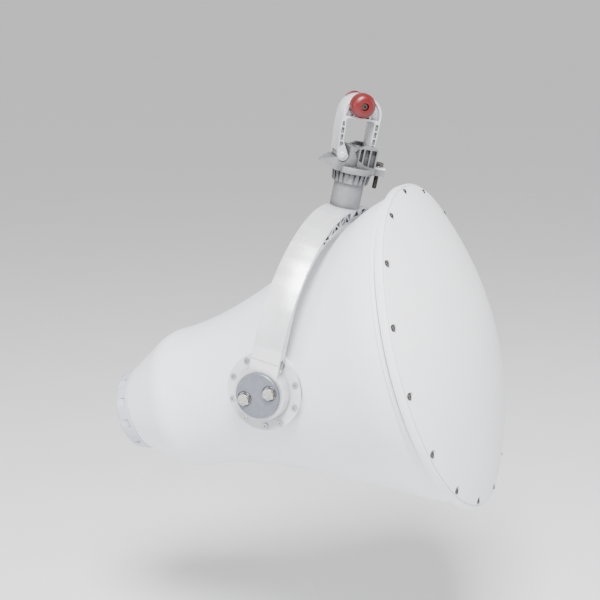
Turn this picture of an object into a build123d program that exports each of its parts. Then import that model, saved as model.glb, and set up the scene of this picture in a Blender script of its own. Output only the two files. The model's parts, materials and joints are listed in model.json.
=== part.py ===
from build123d import *
from math import atan2, cos, degrees, pi, radians, sin, sqrt
import os

os.makedirs("parts", exist_ok=True)

# ---------------------------------------------------------------- driving dimensions (mm, degrees)
# Stance: the origin is the centre of the mast in the clamp, +Z is up, the horn looks along -Y and up.
HORN_RISE = 16.8          # how far the horn's axis rises towards its aperture
YOKE_LEAN = 12.4          # how far the spigot leans from upright, towards the aperture
CLAMP_TURN = 52.0         # how far the mast axis is turned about the spigot, away from the yoke's front
MAST_SIDE = -6.5          # mast axis, sideways from the spigot axis
MAST_HEIGHT = 299.8       # mast axis, above the pivot axis along the spigot

# Horn
RIM_R = 200.0
SCREW_RING_R = 192.0
DOME_APEX = 45.0          # ahead of the screw plane
DOME_DEPTH = 49.0         # from the apex back to the rim's radius
COVER_R = 196.7
COVER_T = 3.0
COVER_LAND = 6.0          # flat land of the cover, behind the screw plane
COVER_LAND_R = 184.0
GASKET_T = 1.5
RIM_FRONT = 3.4
RIM_BACK = 12.8
RIM_INNER_R = 177.0
SHELL_T = 3.0
SHELL_END = 434.0
COVER_SCREWS = 16
COVER_SCREW_TURN = 5.3
COVER_SEAT = 2.4          # seat of a cover screw's head, behind the screw plane
RIM_SCREWS = 12
RIM_SCREW_RING_R = 182.0

# Rear port
PORT_BORE_R = 23.0
PORT_BARREL_R = 30.0
PORT_FLANGE_R = 43.0
PORT_START = 425.0
PORT_END = 456.0
PORT_SCREWS = 6
PORT_SCREW_RING_R = 36.5
RING_FRONT = 434.6
RING_END = 457.0
RING_FRONT_R = 58.2
RING_REAR_R = 53.2
RING_GRIPS = 12
RING_TURN = 30.0          # how far the twist ring turns
STOP_WIDTH = 7.0          # angle the ring's stop takes up

# Pivot, one on each side; distances are measured outwards from the horn's middle plane
PIVOT_SETBACK = 187.8     # pivot axis, behind the screw plane
PIVOT_RAISE = 12.7        # pivot axis, above the horn's axis
BOSS_R = 47.3
BOSS_BORE_R = 35.0
BOSS_FACE = 146.0
PLATE_R = 46.5
PLATE_T = 4.0
PLATE_SCREW_R = 41.3      # screw circle
PLATE_SCREW_ANGLES = [14, 52, 90, 128, 166, 194, 232, 270, 308, 346]
STUB_R = 24.95
HUB_BORE_R = 25.0
HUB_IN = 151.6
HUB_OUT = 165.4
CAP_FACE = 166.2
CAP_R = 26.8
CAP_T = 4.2
PIVOT_BOLT_PITCH = 32.4

# Yoke
YOKE_WIDTH = 35.0
YOKE_REACH = 166.5        # outer face of a leg, from the middle
YOKE_TOP = 208.0          # top face, above the pivot axis
YOKE_BEND_R = 148.0
YOKE_WEB = 4.0
SKIN_T = 2.4
RIB_T = 1.8
INNER_SKIN_T = 2.2
# Depth of the arm at an angle round its bend: thick foot, thin waist, deep crown
ARM_DEPTH = [(0, 14.5), (16, 9.5), (30, 6.0), (42, 6.8), (56, 10.4), (72, 14.4), (90, 15.4)]

# Spigot and clamp
SPIGOT_R = 18.5
SPIGOT_TOP = 260.0
SOCKET_R = 18.55
SKIRT_LOW = 239.0
SKIRT_TOP = 252.0
SKIRT_LOW_R = 22.3
SKIRT_TOP_R = 24.2
FLUTES = 22
BASE_TOP = 259.4
SLOT_FLOOR = 262.0
BASE_HALF = 21.0          # half depth along the mast, on the bolt side
HINGE_HALF = 17.5         # half depth along the mast, on the hinge side
LUG_HALF = 9.0            # half width of the base's lug between the strap's two ears
SADDLE = 283.0
HUMP_TOP = 287.0
HINGE_SIDE = -20.5
HINGE_HEIGHT = 271.5
KNUCKLE_R = 7.0
STRAP_HALF = 14.0         # half width along the mast
STRAP_OUT_R = 24.0
CROWN_HEIGHT = 321.5
BOLT_SIDE = 33.2
BOLT_R = 3.0
BOLT_LOW = 235.0
FOOT_LOW = 259.7
FOOT_TOP = 262.2
MAST_R = 16.6
CAP_SIDE = -11.0
CAP_HEIGHT = 334.0
KNOB_R = 15.0
KNOB_STAND = 15.0         # how far the crown knob stands out of the strap's front


# ---------------------------------------------------------------- directions, centres and planes
def tilted(y_part, z_part):
    return Vector(0, y_part, z_part)


rise = radians(HORN_RISE)
lean = radians(YOKE_LEAN)
turn = radians(CLAMP_TURN)
side = Vector(1, 0, 0)
boresight = tilted(-cos(rise), sin(rise))
horn_up = tilted(sin(rise), cos(rise))
spigot_up = tilted(-sin(lean), cos(lean))
yoke_front = tilted(-cos(lean), -sin(lean))
clamp_right = side * cos(turn) + yoke_front * sin(turn)
mast_out = yoke_front * cos(turn) - side * sin(turn)

pivot = clamp_right * -MAST_SIDE - spigot_up * MAST_HEIGHT
aperture = pivot + boresight * PIVOT_SETBACK - horn_up * PIVOT_RAISE

HORN = Plane(origin=aperture, x_dir=boresight, z_dir=-side)      # x ahead, y out from the axis
FACE = Plane(origin=aperture, x_dir=side, z_dir=boresight)       # across the aperture
YOKE = Plane(origin=pivot, x_dir=side, z_dir=yoke_front)         # x sideways, y up the spigot
CLAMP = Plane(origin=pivot, x_dir=clamp_right, z_dir=mast_out)   # x to the bolt, y up the spigot
SPIGOT = Plane(origin=pivot, x_dir=clamp_right, z_dir=spigot_up) # across the spigot, y to the clamp's rear
CROWN = Plane(origin=pivot, x_dir=side, z_dir=spigot_up)         # across the spigot, y to the yoke's rear
MAST = Plane(origin=(0, 0, 0), x_dir=clamp_right, z_dir=mast_out)
HORN_AXIS = Axis(aperture, boresight)
PIVOT_AXIS = Axis(pivot, side)


def pivot_plane(hand, out):
    """Plane across one pivot, x along the horn, y up from its axis, at a distance out."""
    return Plane(origin=pivot + side * (hand * out), x_dir=boresight * -hand, z_dir=side * hand)


def turned(points, mode=Mode.ADD):
    """Solid of revolution on the horn's axis from (distance behind the screw plane, radius) points."""
    with BuildSketch(HORN) as profile:
        Polygon(*[(-back, radius) for back, radius in points], align=None)
    revolve(profile.sketch, axis=HORN_AXIS, mode=mode)


def ring_spots(count, radius, first=0.0):
    angles = [radians(first + 360 * i / count) for i in range(count)]
    return [(radius * cos(angle), radius * sin(angle)) for angle in angles]


def posts(plane, spots, radius, length, mode=Mode.ADD):
    """Round posts, or holes, running down from a plane."""
    with BuildSketch(plane) as circles:
        with Locations(*spots):
            Circle(radius)
    extrude(circles.sketch, amount=-length, mode=mode)


def socket_heads(plane, spots, radius, height):
    """Round screw heads standing on a plane, with a hex socket in each."""
    with BuildSketch(plane) as heads:
        with Locations(*spots):
            Circle(radius)
    extrude(heads.sketch, amount=height)
    with BuildSketch(plane.offset(height)) as sockets:
        with Locations(*spots):
            RegularPolygon(radius * 0.5, 6)
    extrude(sockets.sketch, amount=-height * 0.55, mode=Mode.SUBTRACT)


def hex_heads(plane, spots, across_flats, height):
    with BuildSketch(plane) as heads:
        with Locations(*spots):
            RegularPolygon(across_flats / 2, 6, major_radius=False)
    extrude(heads.sketch, amount=height)


def washers(plane, spots, outer, inner, height):
    with BuildSketch(plane) as discs:
        with Locations(*spots):
            Circle(outer)
            Circle(inner, mode=Mode.SUBTRACT)
    extrude(discs.sketch, amount=height)


def finish(piece, name):
    piece.part.label = name
    export_step(piece.part, f"parts/{name}.step")
    print(f"{name:24s} solids {len(piece.part.solids()):2d}  volume {piece.part.volume / 1000:9.2f} cm3")


# ---------------------------------------------------------------- horn shell
# Distance behind the screw plane and outer radius, from the lip to the shoulder
FLARE = [(22, 190.6), (40, 187.0), (86, 168.2), (144, 146.8), (202, 126.2), (259, 108.2), (307, 97.6), (352, 93.2)]
SHOULDER = [(366, 92.2), (380, 87.6)]
TAIL_R = 58.5
LIP_FRONT = 16.2
LIP_BACK = 21.0
LIP_R = 193.2
NECK_R = 188.6
FLANGE_T = 4.5
PLATE_SPOTS = [(PLATE_SCREW_R * sin(radians(turn_by)), PLATE_SCREW_R * cos(radians(turn_by)))
               for turn_by in PLATE_SCREW_ANGLES]
RIM_SPOTS = ring_spots(RIM_SCREWS, RIM_SCREW_RING_R, 15)
PORT_SPOTS = ring_spots(PORT_SCREWS, PORT_SCREW_RING_R, 30)
COVER_SPOTS = ring_spots(COVER_SCREWS, SCREW_RING_R, COVER_SCREW_TURN)

with BuildPart() as horn_shell:
    for thinner in (0, SHELL_T):
        front_r = FLARE[0][1] - thinner
        flare = [(-back, radius - thinner) for back, radius in FLARE]
        shoulder = [(-back, radius - thinner) for back, radius in SHOULDER]
        with BuildSketch(HORN):
            with BuildLine():
                Spline(*flare)
                ThreePointArc(flare[-1], *shoulder)
                if thinner:
                    inner_back = SHELL_END - FLANGE_T
                    inner_front = RIM_BACK + FLANGE_T
                    Polyline(shoulder[-1], (-inner_back, TAIL_R - thinner), (-inner_back, PORT_BARREL_R + 0.2),
                             (-SHELL_END, PORT_BARREL_R + 0.2), (-SHELL_END, 0), (-RIM_BACK, 0),
                             (-RIM_BACK, RIM_INNER_R), (-inner_front, RIM_INNER_R), (-inner_front, front_r), flare[0])
                else:
                    Polyline(shoulder[-1], (-SHELL_END, TAIL_R), (-SHELL_END, 0), (-RIM_BACK, 0),
                             (-RIM_BACK, NECK_R), (-LIP_FRONT, NECK_R), (-LIP_FRONT, LIP_R),
                             (-LIP_BACK, LIP_R), (-LIP_BACK, front_r), flare[0])
            make_face()
        revolve(axis=HORN_AXIS, mode=Mode.SUBTRACT if thinner else Mode.ADD)
        if thinner:
            continue
        for hand in (-1, 1):
            with BuildSketch(pivot_plane(hand, BOSS_FACE)):
                Circle(BOSS_R)
                Circle(BOSS_BORE_R, mode=Mode.SUBTRACT)
            extrude(amount=-60)
            with BuildSketch(pivot_plane(hand, BOSS_FACE)):
                Circle(BOSS_R)
            extrude(amount=12, mode=Mode.SUBTRACT)
    posts(FACE.offset(-RIM_BACK), RIM_SPOTS, 2.05, FLANGE_T + 0.5, Mode.SUBTRACT)
    posts(FACE.offset(-inner_back + 0.5), PORT_SPOTS, 2.05, FLANGE_T + 1, Mode.SUBTRACT)
    for hand in (-1, 1):
        posts(pivot_plane(hand, BOSS_FACE + 1), PLATE_SPOTS, 2.5, 13, Mode.SUBTRACT)
finish(horn_shell, "horn_shell")

# ---------------------------------------------------------------- aperture: ring, gasket, cover and screws
with BuildPart() as rim_ring:
    face = COVER_LAND + GASKET_T
    turned([(face, RIM_INNER_R), (RIM_BACK, RIM_INNER_R), (RIM_BACK, RIM_R), (RIM_FRONT + 0.8, RIM_R),
            (RIM_FRONT, RIM_R - 0.8), (RIM_FRONT, COVER_R + 0.3), (face, COVER_R + 0.3)])
    posts(FACE.offset(-face), COVER_SPOTS, 2.05, 10, Mode.SUBTRACT)
    posts(FACE.offset(-RIM_BACK + 3.8), RIM_SPOTS, 2.05, 5, Mode.SUBTRACT)
finish(rim_ring, "rim_ring")

with BuildPart() as cover_gasket:
    with BuildSketch(FACE.offset(-face)):
        Circle(COVER_R - 0.4)
        Circle(COVER_LAND_R, mode=Mode.SUBTRACT)
        with Locations(*COVER_SPOTS):
            Circle(2.2, mode=Mode.SUBTRACT)
    extrude(amount=GASKET_T)
finish(cover_gasket, "cover_gasket")


def dome(radius):
    """How far the dome's surface is ahead of the screw plane at a radius."""
    return DOME_APEX - DOME_DEPTH * (radius / RIM_R) ** 2


with BuildPart() as radome_cover:
    with BuildSketch(HORN):
        with BuildLine():
            inner_edge = (dome(COVER_LAND_R) - COVER_T, COVER_LAND_R)
            Bezier((DOME_APEX, 0), (DOME_APEX, COVER_R / 2), (dome(COVER_R), COVER_R))
            Polyline((dome(COVER_R), COVER_R), (-COVER_LAND, COVER_R), (-COVER_LAND, COVER_LAND_R), inner_edge)
            Bezier(inner_edge, (DOME_APEX - COVER_T, COVER_LAND_R / 2), (DOME_APEX - COVER_T, 0))
            Line((DOME_APEX - COVER_T, 0), (DOME_APEX, 0))
        make_face()
    revolve(axis=HORN_AXIS)
    posts(FACE.offset(6), COVER_SPOTS, 4.6, 6 + COVER_SEAT, Mode.SUBTRACT)
    posts(FACE, COVER_SPOTS, 2.15, 10, Mode.SUBTRACT)
finish(radome_cover, "radome_cover")

with BuildPart() as cover_screws:
    socket_heads(FACE.offset(-COVER_SEAT), COVER_SPOTS, 3.6, 2.4)
    posts(FACE.offset(-COVER_SEAT), COVER_SPOTS, 2.0, RIM_BACK + 1.2 - COVER_SEAT)
finish(cover_screws, "cover_screws")

with BuildPart() as rim_screws:
    seat = Plane(origin=aperture - boresight * inner_front, x_dir=side, z_dir=-boresight)
    flipped = [(x, -y) for x, y in RIM_SPOTS]
    socket_heads(seat, flipped, 3.5, 2.6)
    posts(seat, flipped, 2.0, FLANGE_T + 3.5)
finish(rim_screws, "rim_screws")

# ---------------------------------------------------------------- throat and rear port
with BuildPart() as throat_cone:
    turned([(316, 90.3), (PORT_START - 0.3, 23.1), (PORT_START - 0.3, 30.1), (429.2, 30.1), (429.2, 33.4),
            (413, 33.4), (320, 90.8), (320, 92.6), (316, 92.8)])
finish(throat_cone, "throat_cone")

STOP_PLANE = FACE.offset(-SHELL_END)
with BuildPart() as port_socket:
    turned([(PORT_START, PORT_BORE_R), (PORT_START, PORT_BARREL_R), (SHELL_END, PORT_BARREL_R),
            (SHELL_END, PORT_FLANGE_R), (SHELL_END + 4, PORT_FLANGE_R), (SHELL_END + 4, PORT_BARREL_R),
            (446.2, PORT_BARREL_R), (446.2, 28.4), (447.8, 28.4), (447.8, PORT_BARREL_R),
            (PORT_END, PORT_BARREL_R), (PORT_END, 27.9), (PORT_END - 2, 27.9), (PORT_END - 2, 25.1),
            (PORT_END, 25.1), (PORT_END, PORT_BORE_R)])
    with BuildSketch(STOP_PLANE):
        with BuildLine():
            stop_start = 90 - STOP_WIDTH / 2
            inner = CenterArc((0, 0), PORT_FLANGE_R - 1, stop_start, STOP_WIDTH)
            outer = CenterArc((0, 0), 46.6, stop_start, STOP_WIDTH)
            Line(inner @ 0, outer @ 0)
            Line(inner @ 1, outer @ 1)
        make_face()
    extrude(amount=-4)
    posts(STOP_PLANE, PORT_SPOTS, 2.1, 5, Mode.SUBTRACT)
    posts(STOP_PLANE.offset(-2.4), PORT_SPOTS, 3.8, 3, Mode.SUBTRACT)
finish(port_socket, "port_socket")

with BuildPart() as socket_screws:
    seat = Plane(origin=aperture - boresight * (SHELL_END + 2.4), x_dir=side, z_dir=-boresight)
    flipped = [(x, -y) for x, y in PORT_SPOTS]
    socket_heads(seat, flipped, 3.5, 2.2)
    posts(seat, flipped, 2.0, 6.6)
finish(socket_screws, "socket_screws")

with BuildPart() as port_seal:
    with BuildSketch(HORN):
        with Locations((-(PORT_END - 0.7), 26.5)):
            Circle(1.25)
    revolve(axis=HORN_AXIS)
finish(port_seal, "port_seal")

with BuildPart() as ring_retainer:
    with BuildSketch(FACE.offset(-446.3)):
        Circle(33.0)
        Circle(28.6, mode=Mode.SUBTRACT)
        with Locations((0, -31)):
            Rectangle(5, 8, mode=Mode.SUBTRACT)
    extrude(amount=-1.4)
finish(ring_retainer, "ring_retainer")

with BuildPart() as port_ring:
    turned([(RING_FRONT, PORT_FLANGE_R + 0.6), (RING_FRONT, RING_FRONT_R - 1), (RING_FRONT + 1, RING_FRONT_R),
            (RING_END - 1, RING_REAR_R), (RING_END, RING_REAR_R - 1), (RING_END, 47.5), (445.8, 47.5),
            (445.8, PORT_BARREL_R + 0.08), (440.0, PORT_BARREL_R + 0.08), (440.0, PORT_FLANGE_R + 0.6)])
    # stop track for the socket's tab, at the turned-back end of the travel at rest
    with BuildSketch(FACE.offset(-RING_FRONT)):
        with BuildLine():
            track_start = 90 - STOP_WIDTH / 2 - 0.8
            track = STOP_WIDTH + RING_TURN + 1.6
            inner = CenterArc((0, 0), PORT_FLANGE_R, track_start, track)
            outer = CenterArc((0, 0), 47.2, track_start, track)
            Line(inner @ 0, outer @ 0)
            Line(inner @ 1, outer @ 1)
        make_face()
    extrude(amount=-4.4, mode=Mode.SUBTRACT)
    # grips round the outside
    with BuildSketch(FACE.offset(-RING_FRONT - 6)):
        with PolarLocations(RING_FRONT_R, RING_GRIPS, start_angle=8):
            Rectangle(9, 12)
    extrude(amount=-20, mode=Mode.SUBTRACT)
    # lugs that hold the mating adaptor
    with BuildSketch(FACE.offset(-RING_END + 4.5)):
        with PolarLocations(46, 3, start_angle=30):
            Rectangle(6.5, 13)
    extrude(amount=-3.5)
finish(port_ring, "port_ring")

# ---------------------------------------------------------------- pivots
PIVOT_BOLTS = [(-PIVOT_BOLT_PITCH / 2, 0), (PIVOT_BOLT_PITCH / 2, 0)]
CAP_SEAT = CAP_FACE + CAP_T - 1.5
SIDES = {"left": -1, "right": 1}

for side_name, hand in SIDES.items():
    with BuildPart() as pivot_plate:
        posts(pivot_plane(hand, BOSS_FACE + PLATE_T), [(0, 0)], PLATE_R, PLATE_T)
        posts(pivot_plane(hand, CAP_FACE - 0.1), [(0, 0)], STUB_R, CAP_FACE - 0.1 - BOSS_FACE - 1)
        posts(pivot_plane(hand, CAP_FACE - 6), [(0, 0)], 9.5, 30, Mode.SUBTRACT)
        posts(pivot_plane(hand, CAP_FACE), PIVOT_BOLTS, 4.05, 30, Mode.SUBTRACT)
        posts(pivot_plane(hand, BOSS_FACE + PLATE_T), PLATE_SPOTS, 2.15, 8, Mode.SUBTRACT)
    finish(pivot_plate, f"pivot_plate_{side_name}")
    with BuildPart() as pivot_cap:
        posts(pivot_plane(hand, CAP_FACE + CAP_T), [(0, 0)], CAP_R, CAP_T)
        chamfer(pivot_cap.edges().filter_by(GeomType.CIRCLE).group_by(Axis.X)[-1 if hand > 0 else 0], 0.8)
        posts(pivot_plane(hand, CAP_FACE + CAP_T), PIVOT_BOLTS, 8.7, 1.5, Mode.SUBTRACT)
        posts(pivot_plane(hand, CAP_FACE + CAP_T), PIVOT_BOLTS, 4.3, 8, Mode.SUBTRACT)
    finish(pivot_cap, f"pivot_cap_{side_name}")

with BuildPart() as plate_screws:
    for hand in SIDES.values():
        socket_heads(pivot_plane(hand, BOSS_FACE + PLATE_T), PLATE_SPOTS, 3.3, 1.3)
        posts(pivot_plane(hand, BOSS_FACE + PLATE_T), PLATE_SPOTS, 2.0, 14)
finish(plate_screws, "plate_screws")

with BuildPart() as friction_washers:
    for hand in SIDES.values():
        washers(pivot_plane(hand, BOSS_FACE + PLATE_T), [(0, 0)], 33.0, 25.2, 1.3)
finish(friction_washers, "friction_washers")

with BuildPart() as pivot_washers:
    for hand in SIDES.values():
        washers(pivot_plane(hand, CAP_SEAT), PIVOT_BOLTS, 8.0, 4.2, 1.2)
finish(pivot_washers, "pivot_washers")

with BuildPart() as pivot_bolts:
    for hand in SIDES.values():
        hex_heads(pivot_plane(hand, CAP_SEAT + 1.2), PIVOT_BOLTS, 13.0, 5.3)
        posts(pivot_plane(hand, CAP_SEAT + 1.2), PIVOT_BOLTS, 4.0, 22)
finish(pivot_bolts, "pivot_bolts")

# ---------------------------------------------------------------- yoke
BEND_SIDE = YOKE_REACH - YOKE_BEND_R
BEND_HEIGHT = YOKE_TOP - YOKE_BEND_R
LEG_STEP = 42.0           # above the pivot, where the leg steps in to the hub's face
TRUSS_REACH = 110.0       # along the arm from its middle
TRUSS_PITCH = 19.0
PAD_REACH = 20.0          # solid middle that carries the spigot
SCREW_GRIP = 7.5          # arm under the spigot screws' heads


def arm_depth(from_leg):
    """Depth of the arm at an angle round its bend, between the stated depths."""
    for (low, low_depth), (high, high_depth) in zip(ARM_DEPTH, ARM_DEPTH[1:]):
        if from_leg <= high:
            return low_depth + (high_depth - low_depth) * (from_leg - low) / (high - low)
    return ARM_DEPTH[-1][1]


def arm_point(run, inset, from_inside=False):
    """Point on the arm at a run along its back from the middle, inset from the outer or the inner edge."""
    past = max(abs(run) - BEND_SIDE, 0) / YOKE_BEND_R
    depth = arm_depth(90 - degrees(past)) - inset if from_inside else inset
    reach = min(abs(run), BEND_SIDE) + (YOKE_BEND_R - depth) * sin(past)
    return (reach if run > 0 else -reach, BEND_HEIGHT + (YOKE_BEND_R - depth) * cos(past))


def strip(start, end, width):
    run = Vector(*end) - Vector(*start)
    across = Vector(-run.Y, run.X).normalized() * (width / 2)
    corners = [Vector(*start) + across, Vector(*end) + across, Vector(*end) - across, Vector(*start) - across]
    Polygon(*[(corner.X, corner.Y) for corner in corners], align=None, mode=Mode.SUBTRACT)


def truss_pockets(plane, start, stop):
    """Triangular pockets between zigzag ribs, from one run along the arm to another."""
    steps = [start + (stop - start) * i / 24 for i in range(25)]
    edge = [arm_point(run, SKIN_T) for run in steps] + [arm_point(run, INNER_SKIN_T, True) for run in reversed(steps)]
    count = round(abs(stop - start) / TRUSS_PITCH)
    nodes = [start + (stop - start) * i / count for i in range(count + 1)]
    with BuildSketch(plane) as pockets:
        Polygon(*edge, align=None)
        for i, (near, far) in enumerate(zip(nodes, nodes[1:])):
            strip(arm_point(near, 0, i % 2 == 0), arm_point(far, 0, i % 2 == 1), RIB_T)
            strip(arm_point(far, 0, False), arm_point(far, 0, True), RIB_T)
    return pockets.sketch


with BuildPart() as yoke_arm:
    for hand in SIDES.values():
        inner_bend = [(hand * (BEND_SIDE + (YOKE_BEND_R - depth) * cos(radians(angle))),
                       BEND_HEIGHT + (YOKE_BEND_R - depth) * sin(radians(angle))) for angle, depth in ARM_DEPTH]
        leg_in = hand * (YOKE_REACH - ARM_DEPTH[0][1])
        with BuildSketch(YOKE.offset(-YOKE_WIDTH / 2)):
            with BuildLine():
                Spline(*inner_bend, tangents=[(0, 1), (-hand, 0)])
                Polyline(inner_bend[-1], (0, inner_bend[-1][1]), (0, YOKE_TOP), (hand * BEND_SIDE, YOKE_TOP))
                RadiusArc((hand * BEND_SIDE, YOKE_TOP), (hand * YOKE_REACH, BEND_HEIGHT), hand * YOKE_BEND_R)
                Polyline((hand * YOKE_REACH, BEND_HEIGHT), (hand * YOKE_REACH, LEG_STEP),
                         (hand * HUB_OUT, LEG_STEP - 1), (hand * HUB_OUT, 0), (leg_in, 0), inner_bend[0])
            make_face()
        extrude(amount=YOKE_WIDTH)
    for hand in SIDES.values():
        with BuildSketch(pivot_plane(hand, HUB_IN)):
            Circle(33.5)
        extrude(amount=HUB_OUT - HUB_IN, taper=10)
        with BuildSketch(pivot_plane(hand, HUB_IN - 1)):
            Circle(HUB_BORE_R)
        extrude(amount=20, mode=Mode.SUBTRACT)
        # channel open to the inside of each leg, and the window at its foot
        with BuildSketch(YOKE.offset(-12)):
            with Locations((hand * BEND_SIDE, BEND_HEIGHT)):
                Circle(YOKE_BEND_R - 4)
            with Locations((hand * 145, 77)):
                Rectangle(60, 80, mode=Mode.INTERSECT)
        extrude(amount=24, mode=Mode.SUBTRACT)
        with BuildSketch(YOKE.offset(YOKE_WIDTH / 2)):
            with Locations((hand * 158.5, 39)):
                RectangleRounded(8, 15, 2)
        extrude(amount=-10, mode=Mode.SUBTRACT)
    # truss on both sides of the central web
    for front in (-1, 1):
        for reach in (-TRUSS_REACH, TRUSS_REACH):
            middle = PAD_REACH if reach > 0 else -PAD_REACH
            extrude(truss_pockets(YOKE.offset(front * YOKE_WEB / 2), middle, reach), amount=front * 20,
                    mode=Mode.SUBTRACT)
        with BuildSketch(YOKE.offset(front * (YOKE_WIDTH / 2 - 3.5))):
            with Locations((0, YOKE_TOP - 6)):
                Triangle(a=20, b=13, c=13)
        extrude(amount=front * 10, mode=Mode.SUBTRACT)
    SPIGOT_SPOTS = [(8.8, 8.8), (-8.8, 8.8), (8.8, -8.8), (-8.8, -8.8)]
    posts(CROWN.offset(YOKE_TOP), SPIGOT_SPOTS, 2.7, 30, Mode.SUBTRACT)
    posts(CROWN.offset(YOKE_TOP - SCREW_GRIP), SPIGOT_SPOTS, 4.8, 20, Mode.SUBTRACT)
finish(yoke_arm, "yoke_arm")

# ---------------------------------------------------------------- spigot
with BuildPart() as spigot:
    posts(CROWN.offset(SPIGOT_TOP), [(0, 0)], SPIGOT_R, SPIGOT_TOP - YOKE_TOP)
    chamfer(spigot.edges().group_by(Axis.Z)[-1], 1)
    posts(CROWN.offset(SPIGOT_TOP - 14), [(0, 0)], 7.0, 50, Mode.SUBTRACT)
    posts(CROWN.offset(SPIGOT_TOP), [(0, 0)], 3.05, 20, Mode.SUBTRACT)
    posts(CROWN.offset(YOKE_TOP + 14), SPIGOT_SPOTS, 2.55, 20, Mode.SUBTRACT)
finish(spigot, "spigot")

with BuildPart() as spigot_screws:
    under = Plane(origin=CROWN.offset(YOKE_TOP - SCREW_GRIP).origin, x_dir=side, z_dir=-spigot_up)
    flipped = [(x, -y) for x, y in SPIGOT_SPOTS]
    socket_heads(under, flipped, 4.25, 4.6)
    posts(under, flipped, 2.5, 21)
finish(spigot_screws, "spigot_screws")

# ---------------------------------------------------------------- clamp base
HINGE = (HINGE_SIDE, HINGE_HEIGHT)
SLOT = STRAP_HALF + 0.3
BLOCK_OUTLINE = [(-3, 254), (-3, SADDLE), (0, HUMP_TOP - 1), (3, HUMP_TOP), (18, HUMP_TOP),
                 (21, HUMP_TOP - 3), (21, 256), (15, 254)]
HINGE_OUTLINE = [(-27, 253), (-31, 256), (-30, 268.5), (-20, 268.5), (-13.2, 276), (-13.2, SADDLE), (-3, SADDLE),
                 (-3, 254)]
WING_OUTLINE = [(-27, 253), (-44, 259.5), (-44, 262), (-35.6, 266), (-28, 268.5), (-20, 268.5), (-20, 256)]
WING_TIP_HALF = 4.0
POCKET = [(-7.4, 277.5), (-1.6, 268.8), (7.5, 263.6), (19.0, 262.4), (19.0, 283.5), (0, 283.5), (-4, 281)]


def clamp_box(low, high, half, mode=Mode.SUBTRACT):
    """Block over a rectangle of the clamp's front view, the same depth to both sides."""
    with BuildSketch(CLAMP.offset(-half)) as block:
        with Locations(((low[0] + high[0]) / 2, (low[1] + high[1]) / 2)):
            Rectangle(high[0] - low[0], high[1] - low[1])
    extrude(block.sketch, amount=2 * half, mode=mode)


def clamp_solid(outline, half):
    with BuildSketch(CLAMP.offset(-half)) as block:
        Polygon(*outline, align=None)
    extrude(block.sketch, amount=2 * half)


def hinge_disc(radius, half, mode):
    with BuildSketch(CLAMP.offset(-half)) as disc:
        with Locations(HINGE):
            Circle(radius)
    extrude(disc.sketch, amount=2 * half, mode=mode)


with BuildPart() as clamp_base:
    clamp_solid(BLOCK_OUTLINE, BASE_HALF)
    clamp_solid(HINGE_OUTLINE, HINGE_HALF)
    posts(SPIGOT.offset(BASE_TOP), [(0, 0)], 26, BASE_TOP - SKIRT_TOP)
    with BuildSketch(SPIGOT.offset(BASE_TOP)):
        with Locations((20, 0)):
            Rectangle(40, 16)
    extrude(amount=SKIRT_TOP - BASE_TOP)
    with BuildSketch(SPIGOT.offset(SKIRT_LOW)):
        Circle(SKIRT_LOW_R)
    extrude(amount=SKIRT_TOP - SKIRT_LOW, taper=-degrees(atan2(SKIRT_TOP_R - SKIRT_LOW_R, SKIRT_TOP - SKIRT_LOW)))
    with BuildSketch(SPIGOT.offset(SKIRT_LOW)):
        with PolarLocations(SKIRT_TOP_R, FLUTES):
            Rectangle(5.2, 2.6)
    extrude(amount=SKIRT_TOP - SKIRT_LOW, mode=Mode.SUBTRACT)
    # wing on the hinge side, drawn in towards its tip
    clamp_solid(WING_OUTLINE, HINGE_HALF)
    for front in (-1, 1):
        with BuildSketch(SPIGOT.offset(HINGE_HEIGHT + 5)):
            Polygon((-27, front * HINGE_HALF), (-44, front * WING_TIP_HALF), (-50, front * WING_TIP_HALF),
                    (-50, front * 30), (-27, front * 30), align=None)
        extrude(amount=-40, mode=Mode.SUBTRACT)
    # room round the strap's two ears, leaving the lug between them
    hinge_disc(KNUCKLE_R + 0.8, HINGE_HALF + 1, Mode.SUBTRACT)
    clamp_box((-50, HINGE_HEIGHT), (HINGE_SIDE + KNUCKLE_R + 0.4, 300), HINGE_HALF + 1)
    hinge_disc(KNUCKLE_R, LUG_HALF, Mode.ADD)
    clamp_box((HINGE_SIDE - 5, 262), (HINGE_SIDE + 5, HINGE_HEIGHT), LUG_HALF, Mode.ADD)
    # room for the strap's foot at the bolt side, and for the mast
    with BuildSketch(CLAMP.offset(-SLOT)):
        with Locations((25, SLOT_FLOOR + 19)):
            Rectangle(50, 38)
        with Locations(HINGE):
            Circle(31.6, mode=Mode.SUBTRACT)
    extrude(amount=2 * SLOT, mode=Mode.SUBTRACT)
    clamp_box((-14, SADDLE), (30, 300), SLOT)
    with BuildSketch(MAST.offset(-60)):
        Circle(MAST_R)
    extrude(amount=120, mode=Mode.SUBTRACT)
    # spigot's bore, the retaining bolt's seat and the clamp bolt's hole
    posts(SPIGOT.offset(SPIGOT_TOP + 0.4), [(0, 0)], SOCKET_R, 40, Mode.SUBTRACT)
    posts(SPIGOT.offset(SADDLE + 5), [(0, 0)], 3.4, 40, Mode.SUBTRACT)
    posts(SPIGOT.offset(SADDLE + 5), [(0, 0)], 6.6, SADDLE - 261, Mode.SUBTRACT)
    posts(SPIGOT.offset(BASE_TOP + 1), [(BOLT_SIDE, 0)], BOLT_R + 0.05, 20, Mode.SUBTRACT)
    # ribbed pocket in each cheek, and the hinge pin's hole
    for front in (-1, 1):
        with BuildSketch(CLAMP.offset(front * (SLOT + 1.8))):
            Polygon(*POCKET, align=None)
            for rib in (-2.5, 3.4, 11.5):
                with Locations((rib, 272)):
                    Rectangle(1.8, 40, mode=Mode.SUBTRACT)
        extrude(amount=front * 20, mode=Mode.SUBTRACT)
    hinge_disc(3.04, 30, Mode.SUBTRACT)
finish(clamp_base, "clamp_base")

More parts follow.
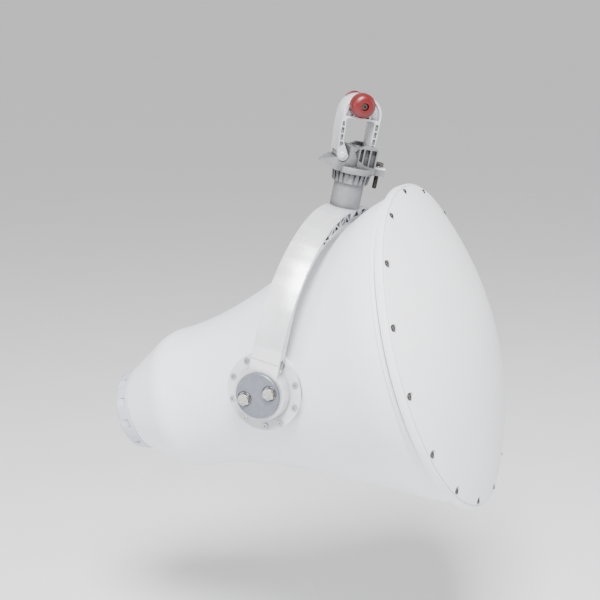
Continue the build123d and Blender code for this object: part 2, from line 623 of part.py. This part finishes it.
with BuildPart() as hinge_pin:
    hinge_disc(3.0, STRAP_HALF - 0.4, Mode.ADD)
finish(hinge_pin, "hinge_pin")

with BuildPart() as retaining_washer:
    washers(CROWN.offset(266.05), [(0, 0)], 6.0, 3.1, 1.6)
finish(retaining_washer, "retaining_washer")

with BuildPart() as retaining_bolt:
    hex_heads(CROWN.offset(267.65), [(0, 0)], 10.0, 4.0)
    posts(CROWN.offset(267.65), [(0, 0)], 3.0, 18)
finish(retaining_bolt, "retaining_bolt")

# ---------------------------------------------------------------- strap
CROWN_SIDE = MAST_SIDE
FORK_SET_IN = 1.8         # the foot swings outwards before it lifts clear of the bolt
with BuildPart() as strap:
    with BuildSketch(CLAMP.offset(-STRAP_HALF)):
        with BuildLine():
            knuckle_left = (HINGE_SIDE - KNUCKLE_R, HINGE_HEIGHT)
            knuckle_right = (HINGE_SIDE + KNUCKLE_R, HINGE_HEIGHT)
            Polyline(knuckle_left, (-30.5, 301), (CROWN_SIDE - STRAP_OUT_R, CROWN_HEIGHT))
            ThreePointArc((CROWN_SIDE - STRAP_OUT_R, CROWN_HEIGHT), (CROWN_SIDE, CROWN_HEIGHT + STRAP_OUT_R),
                          (CROWN_SIDE + STRAP_OUT_R, CROWN_HEIGHT))
            Polyline((CROWN_SIDE + STRAP_OUT_R, CROWN_HEIGHT), (17.6, 308.5), (17.4, 268), (21.4, 265),
                     (24.6, FOOT_TOP), (40, FOOT_TOP), (40, FOOT_LOW), (21.6, FOOT_LOW), (21.6, SLOT_FLOOR + 0.3),
                     (11.4, SLOT_FLOOR + 0.3), (11.4, 290), (11.0, 307), (10.8, 315.4),
                     (7.5, 316.6), (-22, 316.6), (-25.6, 315.2), (-24.2, 302), (-23.8, 289), (-18, 279), knuckle_right)
            ThreePointArc(knuckle_right, (HINGE_SIDE, HINGE_HEIGHT - KNUCKLE_R), knuckle_left)
        make_face()
    extrude(amount=2 * STRAP_HALF)
    # fork for the clamp bolt, the hinge bore and the crown screw's hole
    fork = BOLT_R + 0.5
    with BuildSketch(SPIGOT.offset(FOOT_TOP + 1)):
        with Locations((BOLT_SIDE - FORK_SET_IN, 0)):
            Circle(fork)
        with Locations((BOLT_SIDE + 10 - FORK_SET_IN, 0)):
            Rectangle(20, 2 * fork)
    extrude(amount=-6, mode=Mode.SUBTRACT)
    for corner in (-1, 1):
        with BuildSketch(SPIGOT.offset(FOOT_TOP + 3)):
            with Locations((32, corner * 12)):
                Rectangle(20, 9)
        extrude(amount=-8, mode=Mode.SUBTRACT)
    hinge_disc(3.06, 30, Mode.SUBTRACT)
    # gap between the two ears for the base's lug
    hinge_disc(KNUCKLE_R + 1.2, LUG_HALF + 0.3, Mode.SUBTRACT)
    clamp_box((-40, 250), (-10, HINGE_HEIGHT), LUG_HALF + 0.3)
    # recessed faces between ribs
    for front in (-1, 1):
        with BuildSketch(CLAMP.offset(front * (STRAP_HALF - 3))):
            with Locations((CROWN_SIDE, CROWN_HEIGHT)):
                Circle(STRAP_OUT_R - 2.4)
            with Locations((CROWN_SIDE, CROWN_HEIGHT + 10)):
                Rectangle(60, 25, mode=Mode.INTERSECT)
            for rib in (-26, -16, 3):
                with Locations((rib, 330)):
                    Rectangle(1.8, 60, rotation=8 * rib / 16, mode=Mode.SUBTRACT)
            with Locations((CAP_SIDE, CAP_HEIGHT)):
                Circle(7, mode=Mode.SUBTRACT)
        extrude(amount=front * 10, mode=Mode.SUBTRACT)
        with BuildSketch(CLAMP.offset(front * (STRAP_HALF - 3))):
            Polygon((-27.4, 281), (-28.2, 289), (-29.3, 301), (-29.3, 312), (-26.8, 312), (-25.4, 302), (-25.1, 290),
                    (-22.6, 284), align=None)
            Polygon((12.6, 272), (12.6, 308), (12.2, 314), (16.2, 314), (16.2, 272), align=None)
            for rib in (280, 288.5, 297, 305.5):
                with Locations((CROWN_SIDE, rib)):
                    Rectangle(60, 1.6, mode=Mode.SUBTRACT)
        extrude(amount=front * 10, mode=Mode.SUBTRACT)
    posts(CLAMP.offset(STRAP_HALF), [(CAP_SIDE, CAP_HEIGHT)], 2.05, 30, Mode.SUBTRACT)
finish(strap, "strap")

with BuildPart() as crown_knob:
    KNOB_FRONT = CLAMP.offset(STRAP_HALF + KNOB_STAND)
    posts(KNOB_FRONT, [(CAP_SIDE, CAP_HEIGHT)], KNOB_R, KNOB_STAND - 0.02)
    fillet(crown_knob.faces().sort_by(Axis(pivot, mast_out))[-1].edges(), 8)
    posts(KNOB_FRONT, [(CAP_SIDE, CAP_HEIGHT)], 4.6, 5, Mode.SUBTRACT)
    posts(KNOB_FRONT, [(CAP_SIDE, CAP_HEIGHT)], 2.15, 30, Mode.SUBTRACT)
finish(crown_knob, "crown_knob")

with BuildPart() as knob_screw:
    socket_heads(KNOB_FRONT.offset(-5), [(CAP_SIDE, CAP_HEIGHT)], 3.6, 2.6)
    posts(KNOB_FRONT.offset(-5), [(CAP_SIDE, CAP_HEIGHT)], 2.0, 40)
finish(knob_screw, "knob_screw")

with BuildPart() as crown_backing:
    with BuildSketch(CLAMP.offset(-STRAP_HALF - 0.02)):
        with Locations((CAP_SIDE, CAP_HEIGHT)):
            Circle(13)
            Circle(2.15, mode=Mode.SUBTRACT)
    extrude(amount=-3)
    chamfer(crown_backing.faces().sort_by(Axis(pivot, mast_out))[0].edges().sort_by(SortBy.LENGTH)[-1], 0.8)
finish(crown_backing, "crown_backing")

# ---------------------------------------------------------------- clamp bolt
with BuildPart() as bolt_washer:
    washers(SPIGOT.offset(FOOT_TOP + 0.3), [(BOLT_SIDE, 0)], 6.2, 3.1, 1.2)
finish(bolt_washer, "bolt_washer")

with BuildPart() as clamp_bolt:
    hex_heads(SPIGOT.offset(FOOT_TOP + 1.5), [(BOLT_SIDE, 0)], 10.0, 4.2)
    posts(SPIGOT.offset(FOOT_TOP + 1.5), [(BOLT_SIDE, 0)], BOLT_R, FOOT_TOP + 1.5 - BOLT_LOW)
finish(clamp_bolt, "clamp_bolt")
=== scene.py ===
import bmesh
import bpy
import json
from math import cos, pi, radians, sin, tan
from mathutils import Matrix, Vector


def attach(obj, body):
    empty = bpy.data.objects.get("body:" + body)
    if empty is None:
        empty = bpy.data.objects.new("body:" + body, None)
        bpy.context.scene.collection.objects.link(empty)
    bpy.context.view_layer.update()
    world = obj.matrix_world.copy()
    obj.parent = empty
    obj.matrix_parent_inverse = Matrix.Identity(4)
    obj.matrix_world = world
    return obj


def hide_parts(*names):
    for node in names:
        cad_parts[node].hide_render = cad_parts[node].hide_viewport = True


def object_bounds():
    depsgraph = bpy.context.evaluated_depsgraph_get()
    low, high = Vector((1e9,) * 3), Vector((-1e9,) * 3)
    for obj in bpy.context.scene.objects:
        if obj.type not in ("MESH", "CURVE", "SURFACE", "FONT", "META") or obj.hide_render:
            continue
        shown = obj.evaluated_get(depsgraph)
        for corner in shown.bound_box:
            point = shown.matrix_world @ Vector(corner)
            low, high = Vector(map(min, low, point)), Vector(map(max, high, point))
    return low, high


# ---- dimensions (metres, in the row frame) -----------------------------------------------------
APERTURE_AHEAD = 0.4405          # screw plane, ahead of the waveguide port's mount
FLOOR_DROP = 0.30
PIVOT_HEAD_SEAT = 0.1701         # under the pivot bolts' heads, out from the horn's middle plane
PIVOT_BOLT_OFF = 0.0162          # pivot bolt from the pivot axis
CLAMP_BOLT_SIDE = 0.0537         # clamp bolt, sideways from the strap's hinge
CLAMP_HEAD_DROP = 0.0078         # under the clamp bolt's head, below the strap's hinge
PIVOT_BOLT = {"flats": 0.013, "head": 0.0053, "radius": 0.0040, "root": 0.0035, "pitch": 0.00125,
              "plain": 0.006, "reach": 0.022}
CLAMP_BOLT = {"flats": 0.010, "head": 0.0042, "radius": 0.0030, "root": 0.00255, "pitch": 0.001,
              "plain": 0.003, "reach": 0.0287}
EAR_FACE = 0.0141                # outer face of the strap's ears, from their middle
FLOOR_RADIUS = 30
FLOOR_GLOW = 0.2                 # share of the world's light that the floor gives off
WORLD_LIGHT = 0.72
CAMERA_FROM_APERTURE = Vector((-1.3362, -0.3330, 0.3230))
CAMERA_LOOK = Vector((0.9117, 0.3620, -0.1944))
CAMERA_LENS = 69.05
LIT_MIDDLE = Vector((0, 0.0, -0.22))

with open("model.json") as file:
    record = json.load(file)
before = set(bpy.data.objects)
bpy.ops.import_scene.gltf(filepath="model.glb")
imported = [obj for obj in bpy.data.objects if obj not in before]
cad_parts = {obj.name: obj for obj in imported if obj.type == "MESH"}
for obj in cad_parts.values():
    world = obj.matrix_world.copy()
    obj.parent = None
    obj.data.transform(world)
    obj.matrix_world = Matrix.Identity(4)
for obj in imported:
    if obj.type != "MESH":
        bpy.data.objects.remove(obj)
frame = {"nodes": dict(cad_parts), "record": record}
rest_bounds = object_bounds()
record = frame["record"]
nodes = frame["nodes"]
joints = {joint["name"]: joint for joint in record["behaviour"]["joints"]}
mounts = {mount["name"]: mount for mount in record["mounts"]}

# ---- directions and centres ----------------------------------------------------------------------
SIDE = Vector((1, 0, 0))
AHEAD = -Vector(mounts["waveguide_port"]["axis"])
APERTURE = Vector(mounts["waveguide_port"]["pos_m"]) + AHEAD * APERTURE_AHEAD
PIVOT = Vector(joints["tilt"]["pos_m"])
SPIGOT_UP = Vector(joints["swivel"]["axis"])
MAST_OUT = Vector(joints["strap_hinge"]["axis"])
CLAMP_RIGHT = SPIGOT_UP.cross(MAST_OUT)


# ---- node materials --------------------------------------------------------------------------------------
class Mix:
    """Small helper that builds one procedural material."""

    def __init__(self, name):
        self.made = bpy.data.materials.new(name)
        self.made.use_nodes = True
        self.tree = self.made.node_tree
        self.shader = self.tree.nodes["Principled BSDF"]
        self.coords = self.tree.nodes.new("ShaderNodeTexCoord").outputs["Object"]

    def link(self, source, target):
        self.tree.links.new(source, target)

    def node(self, kind, inputs=None, **settings):
        made = self.tree.nodes.new(kind)
        for key, value in settings.items():
            setattr(made, key, value)
        for key, value in (inputs or {}).items():
            if hasattr(value, "is_linked"):
                self.link(value, made.inputs[key])
            else:
                made.inputs[key].default_value = value
        return made

    def noise(self, scale, detail=4.0, rough=0.55, stretch=None):
        place = self.coords
        if stretch:
            place = self.node("ShaderNodeMapping", {"Vector": self.coords, "Scale": stretch}).outputs[0]
        return self.node("ShaderNodeTexNoise", {"Vector": place, "Scale": scale, "Detail": detail,
                                                "Roughness": rough}).outputs["Fac"]

    def ramp(self, fac, low, high, low_value, high_value):
        return self.node("ShaderNodeMapRange", {"Value": fac, "From Min": low, "From Max": high,
                                                "To Min": low_value, "To Max": high_value}).outputs[0]

    def blend(self, fac, first, second):
        made = self.node("ShaderNodeMix", data_type="RGBA")
        self.link(fac, made.inputs["Factor"])
        for place, colour in ((6, first), (7, second)):
            if hasattr(colour, "is_linked"):
                self.link(colour, made.inputs[place])
            else:
                made.inputs[place].default_value = (*colour, 1)
        return made.outputs[2]

    def edges(self, amount):
        """Worn or dirty factor from how sharply the surface turns."""
        point = self.node("ShaderNodeNewGeometry").outputs["Pointiness"]
        return self.ramp(point, 0.5, 0.5 + amount, 0.0, 1.0)

    def hollows(self, reach):
        """1 in crevices, 0 in the open: an ambient-occlusion mask used for painted shade."""
        shade = self.node("ShaderNodeAmbientOcclusion", {"Distance": reach}, samples=6).outputs["AO"]
        return self.ramp(shade, 0.25, 0.95, 1.0, 0.0)

    def bump(self, height, strength, distance):
        made = self.node("ShaderNodeBump", {"Height": height, "Strength": strength, "Distance": distance})
        self.link(made.outputs[0], self.shader.inputs["Normal"])
        return made

    def set(self, **sockets):
        names = {"colour": "Base Color", "rough": "Roughness", "metal": "Metallic"}
        for key, value in sockets.items():
            socket = self.shader.inputs[names[key]]
            if hasattr(value, "is_linked"):
                self.link(value, socket)
            elif key == "colour":
                socket.default_value = (*value, 1)
            else:
                socket.default_value = value
        return self.made


def enamel(name, colour, shade, rough, texture=0.12, grain=900, metal=0.0, crevice_shade=0.25):
    """Paint or smooth moulding: faint mottling, fine orange peel, painted shade in the crevices."""
    m = Mix(name)
    wide = m.noise(5, 3)
    fine = m.noise(70, 5)
    base = m.blend(m.ramp(wide, 0.35, 0.65, 0, 1), colour, shade)
    base = m.blend(m.ramp(fine, 0.55, 0.8, 0, 0.25), base, tuple(c * 0.86 for c in shade))
    # painted shade: the colour darkens where ambient occlusion finds crevices
    occluded = m.hollows(0.006)
    painted_shade = m.node("ShaderNodeMath", {0: occluded, 1: crevice_shade}, operation="MULTIPLY").outputs[0]
    base = m.blend(painted_shade, base, tuple(c * 0.35 for c in shade))
    m.bump(m.noise(grain, 3), texture, 0.0004)
    return m.set(colour=base, rough=m.ramp(fine, 0.3, 0.7, rough - 0.05, rough + 0.07), metal=metal)


def casting(name, colour, dark, rough, metal, grain, strength):
    """Rough metal: coarse mottling, pitted grain, bright worn edges, painted shade in the hollows."""
    m = Mix(name)
    broad = m.noise(38, 6, 0.65)
    spots = m.noise(260, 4, 0.7)
    base = m.blend(m.ramp(broad, 0.36, 0.64, 0, 1), colour, dark)
    base = m.blend(m.ramp(spots, 0.5, 0.72, 0, 0.45), base, tuple(c * 0.72 for c in dark))
    base = m.blend(m.edges(0.06), base, tuple(min(1, c * 1.35) for c in colour))
    # painted shade: darker colour where ambient occlusion finds hollows
    base = m.blend(m.ramp(m.hollows(0.008), 0, 1, 0, 0.7), base, tuple(c * 0.25 for c in dark))
    m.bump(m.noise(grain, 5, 0.7), strength, 0.0006)
    return m.set(colour=base, rough=m.ramp(spots, 0.3, 0.7, rough - 0.08, rough + 0.1), metal=metal)


def turned_metal(name, colour, rough, stretch=(1, 1, 9)):
    """Machined steel: fine brushing, slight tarnish, painted shade in the seams."""
    m = Mix(name)
    brush = m.noise(420, 4, 0.6, stretch)
    tarnish = m.noise(60, 4)
    base = m.blend(m.ramp(tarnish, 0.4, 0.68, 0, 0.6), colour, tuple(c * 0.66 for c in colour))
    # painted shade: near-black where ambient occlusion finds seams
    base = m.blend(m.ramp(m.hollows(0.003), 0, 1, 0, 0.8), base, (0.03, 0.027, 0.025))
    m.bump(brush, 0.18, 0.0002)
    return m.set(colour=base, rough=m.ramp(brush, 0.3, 0.7, rough - 0.06, rough + 0.1), metal=1.0)


LOOKS = {
    "white_enamel": enamel("white_enamel", (0.76, 0.77, 0.81), (0.70, 0.715, 0.76), 0.42, 0.06),
    "cover_plastic": enamel("cover_plastic", (0.76, 0.77, 0.80), (0.715, 0.725, 0.765), 0.38, 0.05),
    "grey_enamel": enamel("grey_enamel", (0.60, 0.61, 0.645), (0.52, 0.53, 0.57), 0.4, 0.25, crevice_shade=0.5),
    "slate_enamel": casting("slate_enamel", (0.17, 0.185, 0.215), (0.11, 0.12, 0.145), 0.36, 0.6, 700, 0.3),
    "silver_enamel": casting("silver_enamel", (0.56, 0.565, 0.585), (0.41, 0.415, 0.44), 0.38, 0.45,
                             900, 0.35),
    "raw_casting": casting("raw_casting", (0.19, 0.19, 0.20), (0.095, 0.095, 0.102), 0.5, 0.5, 520, 0.75),
    "bare_aluminium": turned_metal("bare_aluminium", (0.62, 0.63, 0.65), 0.34),
    "ring_plastic": enamel("ring_plastic", (0.50, 0.51, 0.585), (0.43, 0.44, 0.52), 0.4, 0.12, crevice_shade=0.45),
    "bearing_plastic": enamel("bearing_plastic", (0.72, 0.72, 0.66), (0.62, 0.62, 0.57), 0.5),
    "red_plastic": enamel("red_plastic", (0.115, 0.0016, 0.003), (0.09, 0.0012, 0.0025), 0.36, 0.1, crevice_shade=0.4),
    "dark_rubber": enamel("dark_rubber", (0.035, 0.035, 0.038), (0.022, 0.022, 0.024), 0.75, 0.4),
    "stainless": turned_metal("stainless", (0.50, 0.49, 0.48), 0.24),
    "dark_steel": turned_metal("dark_steel", (0.12, 0.105, 0.10), 0.38),
}
for sub in record["subparts"]:
    node = nodes[sub["node"]]
    node.data.materials.clear()
    node.data.materials.append(LOOKS[sub["material_slot"]])


# ---- geometry helpers ------------------------------------------------------------------------------------
def round_edges(obj, width, angle):
    """Bevel on the sharp edges, with smooth shading carried across it."""
    bevel = obj.modifiers.new("round", "BEVEL")
    bevel.width = width
    bevel.segments = 2
    bevel.limit_method = "ANGLE"
    bevel.angle_limit = radians(angle)
    bevel.harden_normals = True


def soften(obj, width):
    """Rounded edges and smooth faces on a CAD node."""
    weld = obj.modifiers.new("weld", "WELD")
    weld.merge_threshold = 0.000004
    round_edges(obj, width, 35)


EDGE_ROUNDING = {
    "yoke_arm": 0.0007, "clamp_base": 0.0006, "strap": 0.0007, "crown_backing": 0.0004, "port_ring": 0.0006,
    "pivot_plate_left": 0.0004, "pivot_plate_right": 0.0004, "pivot_cap_left": 0.0004,
    "pivot_cap_right": 0.0004, "rim_ring": 0.0006, "spigot": 0.0006, "pivot_washers": 0.0002,
    "plate_screws": 0.0003, "cover_screws": 0.0003, "bolt_washer": 0.0002,
}
for name, width in EDGE_ROUNDING.items():
    soften(nodes[name], width)


def skin(shape, rings):
    """Faces between a stack of equal rings of points, and the rows of vertices they stand on."""
    rows = [[shape.verts.new(point) for point in ring] for ring in rings]
    count = len(rings[0])
    for low, high in zip(rows, rows[1:]):
        for i in range(count):
            following = (i + 1) % count
            shape.faces.new((low[i], low[following], high[following], high[i]))
    return rows


def made_mesh(shape, name):
    mesh = bpy.data.meshes.new(name)
    shape.to_mesh(mesh)
    shape.free()
    return mesh


def stacked(name, rings):
    """Mesh skinned over a stack of rings, closed at both ends."""
    shape = bmesh.new()
    rows = skin(shape, rings)
    shape.faces.new(reversed(rows[0]))
    shape.faces.new(rows[-1])
    return made_mesh(shape, name)


def placed(mesh, spots, axis, look, body):
    """One object per spot, sharing a mesh, standing along an axis."""
    mesh.materials.append(look)
    mesh.shade_smooth()
    upright = axis.to_track_quat("Z", "Y").to_matrix().to_4x4()
    made = []
    for i, spot in enumerate(spots):
        obj = bpy.data.objects.new(f"{mesh.name}_{i + 1}", mesh)
        obj.matrix_world = Matrix.Translation(spot) @ upright
        scene.collection.objects.link(obj)
        round_edges(obj, 0.00012, 32)
        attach(obj, body)
        made.append(obj)
    return made


def on_circle(radius, angle, height):
    return (radius * cos(angle), radius * sin(angle), height)


def circle_ring(radius, height, count=48):
    return [on_circle(radius, 2 * pi * i / count, height) for i in range(count)]


def hex_head(name, flats, height):
    """Hex head with a washer face under it, its corners turned off at the top and a shallow dish."""
    washer_face = height * 0.08
    washer_face_r = flats * 0.47
    crown_r = flats * 0.46
    dish_r = flats * 0.32
    dish_floor_r = flats * 0.30
    foot, top = [], []
    for i in range(48):
        angle = 2 * pi * i / 48
        from_flat = (angle + pi / 6) % (pi / 3) - pi / 6
        reach = flats / 2 / cos(from_flat)
        foot.append(on_circle(reach, angle, washer_face))
        top.append(on_circle(reach, angle, height - (reach - crown_r) * tan(radians(30))))
    return stacked(name, [circle_ring(washer_face_r, 0), circle_ring(washer_face_r, washer_face), foot, top,
                          circle_ring(crown_r, height), circle_ring(dish_r, height - 0.0001),
                          circle_ring(dish_floor_r, height - 0.0003)])


def threaded_shank(name, bolt):
    """Shank running down from 0: plain, then a helical thread, then a turned point."""
    count = 24
    radius, root, pitch, end = bolt["radius"], bolt["root"], bolt["pitch"], bolt["reach"]
    thread_top = bolt["plain"] + 0.0004
    half_crest = pitch * 0.06
    shape = bmesh.new()
    skin(shape, [circle_ring(radius, 0, count), circle_ring(radius, -bolt["plain"], count),
                 circle_ring(root, -thread_top, count)])
    tooth = [(root, pitch / 2), (radius, half_crest), (radius, -half_crest), (root, -pitch / 2)]
    turns = int((end - bolt["plain"] - 0.0012) / pitch)
    strands = []
    for i in range(turns * count + 1):
        level = -thread_top - pitch / 2 - pitch * i / count
        angle = 2 * pi * i / count
        strands.append([shape.verts.new(on_circle(reach, angle, level + lift)) for reach, lift in tooth])
    for first, second in zip(strands, strands[1:]):
        for k in range(3):
            shape.faces.new((first[k], second[k], second[k + 1], first[k + 1]))
    point = skin(shape, [circle_ring(root, -end + 0.0016, count), circle_ring(root, -end + 0.0006, count),
                         circle_ring(root * 0.72, -end, count)])
    shape.faces.new(point[-1])
    bmesh.ops.remove_doubles(shape, verts=shape.verts, dist=0.000001)
    bmesh.ops.recalc_face_normals(shape, faces=shape.faces)
    return made_mesh(shape, name)


def bolts(stem, suffix, sizes, spots, axis, body, look, node):
    """Heads and shanks of one size of bolt, standing for a CAD node."""
    head = hex_head(f"{stem}_head{suffix}", sizes["flats"], sizes["head"])
    shank = threaded_shank(f"{stem}_shank{suffix}", sizes)
    for mesh in (head, shank):
        for piece in placed(mesh, spots, axis, LOOKS[look], body):
            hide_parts(node)


# ---- pivot bolts and clamp bolt: turned heads and threads in place of the plain ones ----------------------
scene = bpy.context.scene
for side_name, hand in (("left", -1), ("right", 1)):
    out = SIDE * hand
    seat = PIVOT + out * PIVOT_HEAD_SEAT
    spots = [seat + AHEAD * PIVOT_BOLT_OFF, seat - AHEAD * PIVOT_BOLT_OFF]
    bolts("pivot", f"_{side_name}", PIVOT_BOLT, spots, out, "horn", "stainless", "pivot_bolts")

HINGE = Vector(joints["strap_hinge"]["pos_m"])
bolt_seat = HINGE + CLAMP_RIGHT * CLAMP_BOLT_SIDE - SPIGOT_UP * CLAMP_HEAD_DROP
bolts("clamp", "", CLAMP_BOLT, [bolt_seat], SPIGOT_UP, "clamp_bolt", "dark_steel", "clamp_bolt")

# ---- low caps over the hinge pin's ends -------------------------------------------------------------------
EAR_CAP = [(0.0046, 0), (0.0046, 0.0002), (0.0042, 0.0005), (0.0028, 0.0007), (0.0010, 0.0008)]
ear_cap = stacked("ear_cap", [circle_ring(reach, level, 36) for reach, level in EAR_CAP])
for name, way in (("front", MAST_OUT), ("back", -MAST_OUT)):
    for piece in placed(ear_cap.copy(), [HINGE + way * EAR_FACE], way, LOOKS["silver_enamel"], "strap"):
        piece.name = f"ear_cap_{name}"

# ---- camera, light and floor ------------------------------------------------------------------------------
camera_data = bpy.data.cameras.new("camera")
camera_data.lens = CAMERA_LENS
camera_data.sensor_width = 36.0
camera = bpy.data.objects.new("camera", camera_data)
camera.location = APERTURE + CAMERA_FROM_APERTURE
camera.rotation_euler = CAMERA_LOOK.to_track_quat("-Z", "Y").to_euler()
scene.collection.objects.link(camera)
scene.camera = camera

world = bpy.data.worlds.new("studio")
world.use_nodes = True
world.node_tree.nodes["Background"].inputs[0].default_value = (1, 1, 1, 1)
world.node_tree.nodes["Background"].inputs[1].default_value = WORLD_LIGHT
scene.world = world


def area_light(name, place, target, size, power):
    data = bpy.data.lights.new(name, "AREA")
    data.shape = "RECTANGLE"
    data.size, data.size_y = size
    data.energy = power
    light = bpy.data.objects.new(name, data)
    light.location = place
    light.rotation_euler = (Vector(target) - Vector(place)).to_track_quat("-Z", "Y").to_euler()
    scene.collection.objects.link(light)


area_light("key", LIT_MIDDLE + Vector((-1.5, -0.5, 1.9)), LIT_MIDDLE, (0.9, 0.9), 210)
area_light("fill", LIT_MIDDLE + Vector((-2.0, 1.6, 0.5)), LIT_MIDDLE, (1.2, 1.6), 24)
area_light("front", LIT_MIDDLE + Vector((0.9, -2.4, 0.4)), LIT_MIDDLE, (1.2, 1.6), 22)

floor_look = enamel("floor", (0.80, 0.80, 0.81), (0.78, 0.78, 0.79), 0.9, 0.02, crevice_shade=0.0)
floor_shader = floor_look.node_tree.nodes["Principled BSDF"]
floor_shader.inputs["Emission Color"].default_value = (1, 1, 1, 1)
floor_shader.inputs["Emission Strength"].default_value = WORLD_LIGHT * FLOOR_GLOW
floor_mesh = bpy.data.meshes.new("floor")
floor_shape = bmesh.new()
bmesh.ops.create_circle(floor_shape, cap_ends=True, segments=96, radius=FLOOR_RADIUS)
floor_shape.to_mesh(floor_mesh)
floor = bpy.data.objects.new("floor", floor_mesh)
floor.location = (0, 0, rest_bounds[0][2] - FLOOR_DROP)
floor_mesh.materials.append(floor_look)
scene.collection.objects.link(floor)
